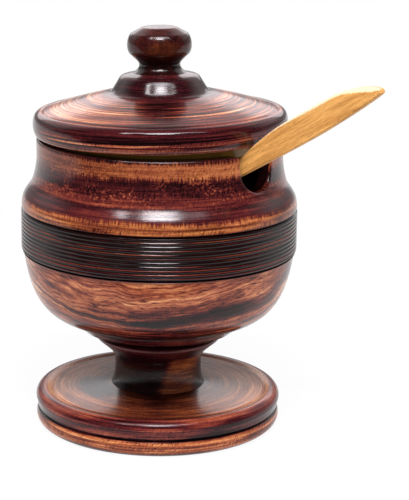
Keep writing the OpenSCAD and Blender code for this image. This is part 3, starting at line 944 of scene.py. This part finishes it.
def lid_wood():
    wood = Turning("lid_stained", 15.0)
    z = wood.wavy_height(1.9, 2.0, 0.5, 0.9)
    zones = wood.along(z, [
        (-0.5, 0.46), (0.3, 0.56), (1.0, 0.42), (3.2, 0.33), (4.4, 0.25), (8.2, 0.22), (8.6, 0.18),
        (8.9, 0.25), (9.3, 0.30), (13.9, 0.33), (14.7, 0.28), (15.6, 0.14), (20.6, 0.16), (21.5, 0.26),
        (22.3, 0.32)])
    layers = wood.growth((0.012, 0.02), [(40.0, 0.7)], seed=4.0)
    rings = wood.spread(wood.grain(layers, 0.62, 60.0, 4.0, 0.6, seed=2.0))
    lines = wood.spread(wood.rings(0.8, 0.2, 3.0, 0.6, seed=5.0))
    line_share = wood.along(wood.z, [
        (0.0, 1.1), (4.0, 1.1), (5.0, 0.45), (8.5, 0.45), (9.1, 0.95), (13.6, 1.05), (15.0, 0.2),
        (22.0, 0.2)])
    patches = wood.ease(wood.clouds((0.08,) * 3, (5, 2, 7)), 0.38, 0.6)
    strokes = wood.times(wood.strokes(0.2, 0.34, 2.4, 0.46, 0.64, 7.0), wood.total((patches, 0.6), 0.4))
    stroke_share = wood.along(wood.z, [
        (-0.5, 0.15), (0.6, 0.34), (4.0, 0.36), (5.6, 0.10), (9.5, 0.03), (22.0, 0.05)])
    # Painted reflection and sheen: the dome is darker in front, where it mirrors the knob and boss, and
    # lighter at the sides. The lid's own frame is turned towards the spoon
    on_dome = wood.window(wood.z, 8.4, 8.9, 14.2, 15.0)
    painted_side_light = wood.math("ABSOLUTE", wood.toward(-SPOON_AZ))
    front = wood.total((wood.facing(FRONT_AZ - SPOON_AZ, 20), -0.14), (painted_side_light, 0.30))
    tone = wood.total(zones, (wood.total((rings, 0.45), (lines, 0.62)), line_share),
                      (wood.times(strokes, stroke_share), -1.0), (front, on_dome))
    nose = wood.window(wood.z, 3.6, 4.6, 8.5, 8.9)
    under = (wood.ease(wood.z, -0.1, -0.5), (0.24, 0.125, 0.024))
    return stained(wood, tone, wood.times(patches, on_dome, 0.3), gloss=0.155, polish=nose, under=under)


def foot_wood():
    wood = Turning("foot_stained", 23.0)
    z = wood.wavy_height(2.1, 2.0, 0.5, 0.5)
    sides = wood.along(z, [
        (-0.3, 0.12), (0.6, 0.2), (1.5, 0.60), (4.6, 0.66), (5.4, 0.52), (5.8, 0.02), (6.8, 0.02),
        (7.2, 0.32), (9.6, 0.30), (10.6, 0.38), (12.0, 0.44), (13.4, 0.42)])
    top = wood.along(wood.r, [
        (17.0, 0.06), (19.0, 0.14), (24.0, 0.23), (30.0, 0.27), (36.0, 0.27), (38.4, 0.30), (38.8, 0.24),
        (39.5, 0.34), (41.0, 0.42)])
    # Painted light: the top is made lighter at its left and right sides than in front
    top = wood.plus(top, wood.math("ABSOLUTE", wood.cos), 0.37)
    on_top = wood.times(wood.ease(wood.r, 41.6, 40.6), wood.ease(wood.z, 10.5, 11.5))
    rings = wood.spread(wood.rings(2.4, 0.10, 4.0, 0.6, seed=2.0))
    lines = wood.spread(wood.rings(0.7, 0.2, 3.0, 0.6, seed=5.0))
    line_share = wood.plus(0.70, on_top, -0.30)
    patches = wood.ease(wood.clouds((0.08,) * 3, (5, 2, 7)), 0.38, 0.6)
    strokes = wood.times(wood.strokes(0.8, 0.36, 2.2, 0.47, 0.66, 3.0), wood.total((patches, 0.5), 0.4))
    stroke_share = wood.along(wood.z, [
        (0.0, 0.1), (1.5, 0.48), (5.2, 0.48), (6.0, 0.0), (7.0, 0.2), (10.0, 0.26), (13.0, 0.08),
        (15.6, 0.0)])
    scorch = wood.times(wood.facing(-166, 36), wood.window(wood.r, 17.0, 20.0, 27.0, 32.0))
    tone = wood.total((top, on_top), (sides, wood.plus(1.0, on_top, -1.0)),
                      (wood.total((rings, 0.6), (lines, 0.5)), line_share),
                      (wood.times(strokes, stroke_share), -1.0), (scorch, -0.42))
    golden = wood.total((on_top, 0.7), (wood.ease(wood.z, 6.0, 5.4), 0.35))
    return stained(wood, tone, golden, marks=0.35, lacquer=FOOT_LACQUER)


def stem_wood():
    """Dark, with a lighter side to the right whose edge runs down at a slant."""
    wood = Turning("stem_stained", 31.0)
    zones = wood.along(wood.z, [
        (0.0, 0.10), (4.0, 0.08), (12.0, 0.08), (15.0, 0.20), (17.2, 0.34), (18.3, 0.3), (18.9, 0.04),
        (19.6, 0.03)])
    rings = wood.spread(wood.rings(1.2, 0.14, 3.0, 0.55, seed=2.0))
    streaks = wood.spread(wood.grain(wood.z, 0.9, 16.0, 4.0, 0.6))
    slant = 0.022
    edge = wood.total(wood.turn, (wood.z, -slant), (streaks, 0.10), radians(82) + slant * 7)
    light = wood.times(wood.window(edge, -0.10, 0.14, 0.7, 1.2), wood.ease(wood.z, 14.5, 11.5))
    tone = wood.total(zones, (rings, 0.08), (streaks, 0.10), (light, wood.plus(0.40, streaks, 0.16)))
    return stained(wood, tone, wood.times(light, 0.6))


def knob_wood():
    """Dark, with the grain upright."""
    wood = Turning("knob_stained", 41.0)
    zones = wood.along(wood.z, [
        (0.0, 0.12), (3.0, 0.08), (6.0, 0.18), (9.5, 0.24), (13.4, 0.18), (14.6, 0.2), (16.2, 0.3)])
    rings = wood.spread(wood.rings(1.2, 0.12, 3.0, 0.55, seed=2.0))
    streaks = wood.spread(wood.clouds((0.75, 0.75, 0.09), (wood.seed, 0, 0), 4.0, 0.6))
    front = wood.patch(-46, 34, 9.0, 3.6)
    tone = wood.total(zones, (rings, 0.05), (streaks, 0.12), (front, 0.08))
    return stained(wood, tone, wood.total((front, 0.5), 0.4))


def bare_wood(name, seed, dark, light, roughness, along=(0.05, 0.9, 0.9), pores=0.4, bevel_wear_and_highlight=None, own=True):
    """Plain sanded wood, its grain along the least of along: spoon, dowels, and the inside of the bowl."""
    wood = Shader(name, own)
    grain = wood.clouds(along, (seed, 0, 0), 4.0, 0.55, bend=0.4)
    fine = wood.clouds(tuple(5 * v for v in along), (seed, 3, 0))
    flecks = wood.ease(wood.clouds((0.55, 3.2, 3.2), (seed, 9, 0), 1.0), 0.6, 0.72)
    level = wood.total((wood.spread(grain), 0.7), (wood.spread(fine), 0.4), 0.5)
    colour = wood.mix(level, (*dark, 1), (*light, 1))
    colour = wood.mix(wood.times(flecks, pores), colour, (*(0.35 * v for v in dark), 1))
    # The handle's bevel is painted paler: partly worn bare wood, partly a painted highlight where it faces
    # the light from above
    if bevel_wear_and_highlight is not None:
        on_bevel = wood.node("ShaderNodeAttribute", attribute_name=BEVEL).outputs["Fac"]
        colour = wood.mix(wood.times(on_bevel, 0.85), colour, (*bevel_wear_and_highlight, 1))
    height = wood.total((fine, 0.6), (flecks, -0.8))
    return wood.finish(colour, roughness, height, 0.35, BARE_RELIEF, BARE_LACQUER)


def spoon_wood():
    # The pale bevel colour is partly worn wood and partly painted highlight
    return bare_wood("spoon_wood", 5.0, (0.48, 0.205, 0.043), (0.86, 0.45, 0.128), 0.5,
                     bevel_wear_and_highlight=(0.90, 0.72, 0.47))


def bowl_inside_wood():
    return bare_wood("bowl_inside_wood", 3.0, (0.10, 0.035, 0.014), (0.26, 0.10, 0.035), 0.45,
                     (0.08, 0.08, 0.6), 0.2)


def dowel_wood():
    return bare_wood("dowel_wood", 8.0, (0.45, 0.28, 0.13), (0.72, 0.53, 0.32), 0.55, (0.7, 0.7, 0.06), 0.3,
                     own=False)


# Pieces

def build():
    pieces = {
        "foot": turned("foot_turned", foot_profile(), lifted(0), 0.3, 1.5),
        "stem": turned("stem_turned", stem_profile(), lifted(STEM_Z), 0.25, 1.2),
        "bowl": bowl_mesh("bowl_turned", lifted(BOWL_Z)),
        "lid": turned("lid_turned", lid_profile(), on_lid(), 0.3, 1.5),
        "knob": turned("knob_turned", knob_profile(), on_lid() @ lifted(LID_H), 0.5, 0.8, KNOB_SIDES),
        "spoon": spoon_mesh("spoon_carved", on_spoon()),
    }
    bodies = {"foot": "vessel", "stem": "vessel", "bowl": "vessel", "lid": "lid", "knob": "lid",
              "spoon": "spoon"}
    for node, obj in pieces.items():
        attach(obj, bodies[node])
        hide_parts(node)
    return pieces


def paint(pieces):
    """Gives each piece its wood. The bowl's second one is for its inside."""
    woods = (("foot", foot_wood), ("stem", stem_wood), ("bowl", bowl_wood), ("bowl", bowl_inside_wood),
             ("lid", lid_wood), ("knob", knob_wood), ("spoon", spoon_wood))
    for node, wood in woods:
        pieces[node].data.materials.append(wood())
    plain = dowel_wood()
    for node in ("foot_dowel", "bowl_dowel", "knob_dowel"):
        frame["nodes"][node].data.materials.clear()
        frame["nodes"][node].data.materials.append(plain)


# Stage

# The floor, in metres, and how much of it glows near the object and away from it, with the distances
# of these in millimetres. What doesn't glow takes the shadow
FLOOR_FRONT = -0.12
FLOOR_REACH = 4
GLOW_NEAR = 0.93
GLOW_FAR = 1.0
SHADOW_NEAR = 120
SHADOW_FAR = 340
# Even light of the room, how dim it is in the gloss on the camera's side, and the tint of the lamps
WORLD_LIGHT = 0.52
DIM_SIDE = 0.025
LAMP_COLOUR = (1.0, 0.95, 0.985)
LAMP_AIM_Z = 0.07
# Azimuth and elevation in degrees, distance and size in metres, power in watts
LAMPS = {
    "key": (1, 53, 1.0, (0.42, 0.085), 6.0),
    "middle": (1, 58.5, 1.0, (0.5, 0.11), 1.7),
    "top": (0, 64, 1.0, (1.1, 0.09), 4.8),
    "left": (-42, 53, 1.0, (0.12, 0.12), 0.8),
    "back": (180, 22.8, 0.542, (0.7, 0.2), 0.5),
}
# The photograph's viewpoint: degrees, metres and the photo's pixels
CAM_RISE = 14.33
CAM_DISTANCE = 0.7044
CAM_TARGET_Z = 0.06424
CAM_YAW = 1.345
CAM_ROLL = 0.539
CAM_FOCAL_PX = 1932
PHOTO_H = 500
SENSOR = 36


def floor():
    """A plain white floor that keeps a faint shadow round the object."""
    mesh = bpy.data.meshes.new("floor")
    mesh.from_pydata([(-FLOOR_REACH, FLOOR_FRONT, 0), (FLOOR_REACH, FLOOR_FRONT, 0),
                      (FLOOR_REACH, FLOOR_REACH, 0), (-FLOOR_REACH, FLOOR_REACH, 0)], [], [(0, 1, 2, 3)])
    obj = linked("floor", mesh)
    white = Shader("floor_white", own=False)
    seen = white.ray("Is Camera Ray", "Is Glossy Ray", "Is Transmission Ray")
    away = white.node("ShaderNodeVectorMath", {0: white.place}, operation="LENGTH").outputs["Value"]
    share = white.ease(away, SHADOW_NEAR, SHADOW_FAR, GLOW_NEAR, GLOW_FAR)
    matt = white.node("ShaderNodeBsdfDiffuse", {"Color": (0.9, 0.9, 0.9, 1)}).outputs[0]
    glow = white.node("ShaderNodeEmission", {"Color": (1, 1, 1, 1), "Strength": 1.0}).outputs[0]
    both = white.node("ShaderNodeMixShader", {0: white.times(seen, share), 1: matt, 2: glow})
    white.node("ShaderNodeOutputMaterial", {"Surface": both.outputs[0]})
    obj.data.materials.append(white.material)


def lamp(name, azimuth, elevation, distance, size, power):
    """A soft box that faces the bowl. Azimuth 0 is on the camera's side, positive to the right."""
    data = bpy.data.lights.new(name, "AREA")
    data.shape = "ELLIPSE"
    data.size, data.size_y = size
    data.color = LAMP_COLOUR
    data.energy = power
    obj = linked(name, data)
    a, e = radians(azimuth), radians(elevation)
    back = Vector((sin(a) * cos(e), -cos(a) * cos(e), sin(e)))
    obj.location = Vector((0, 0, LAMP_AIM_Z)) + back * distance
    obj.rotation_mode = "QUATERNION"
    obj.rotation_quaternion = back.to_track_quat("Z", "Y")


def camera():
    """The photograph's viewpoint, fitted to its turned rings."""
    data = bpy.data.cameras.new("camera")
    data.sensor_width = SENSOR
    data.lens = CAM_FOCAL_PX / PHOTO_H * SENSOR
    obj = linked("camera", data)
    e = radians(CAM_RISE)
    forward = Vector((0, cos(e), -sin(e)))
    up = Vector((0, sin(e), cos(e)))
    obj.location = Vector((0, 0, CAM_TARGET_Z)) - forward * CAM_DISTANCE
    forward = Matrix.Rotation(-radians(CAM_YAW), 3, up) @ forward
    up = Matrix.Rotation(radians(-CAM_ROLL), 3, forward) @ up
    right = forward.cross(up)
    obj.rotation_mode = "QUATERNION"
    obj.rotation_quaternion = Matrix((right, up, -forward)).transposed().to_quaternion()
    bpy.context.scene.camera = obj


def world():
    """White behind the object, also in its gloss, a dim room on the camera's side and an even soft light."""
    made = bpy.data.worlds.new("studio")
    made.use_nodes = True
    bpy.context.scene.world = made
    sky = Nodes(made.node_tree)
    direction = sky.node("ShaderNodeTexCoord").outputs["Generated"]
    _, behind, up = sky.node("ShaderNodeSeparateXYZ", {0: direction}).outputs
    backdrop = sky.ease(behind, -0.1, 0.5)
    horizon = sky.ease(up, 0.18, 0.42, 0.38, 1.0)
    ceiling = sky.ease(up, 0.65, 0.88, 1.0, 0.2)
    mirrored = sky.blend(sky.times(backdrop, horizon, ceiling), DIM_SIDE, 1.0)
    soft = sky.blend(sky.ray("Is Glossy Ray", "Is Transmission Ray"), WORLD_LIGHT, mirrored)
    strength = sky.blend(sky.ray("Is Camera Ray"), soft, 1.0)
    back = made.node_tree.nodes["Background"]
    back.inputs["Color"].default_value = (1, 1, 1, 1)
    made.node_tree.links.new(strength, back.inputs["Strength"])


paint(build())
floor()
world()
for name, values in LAMPS.items():
    lamp(name, *values)
camera()
bpy.context.scene.view_settings.view_transform = "Standard"
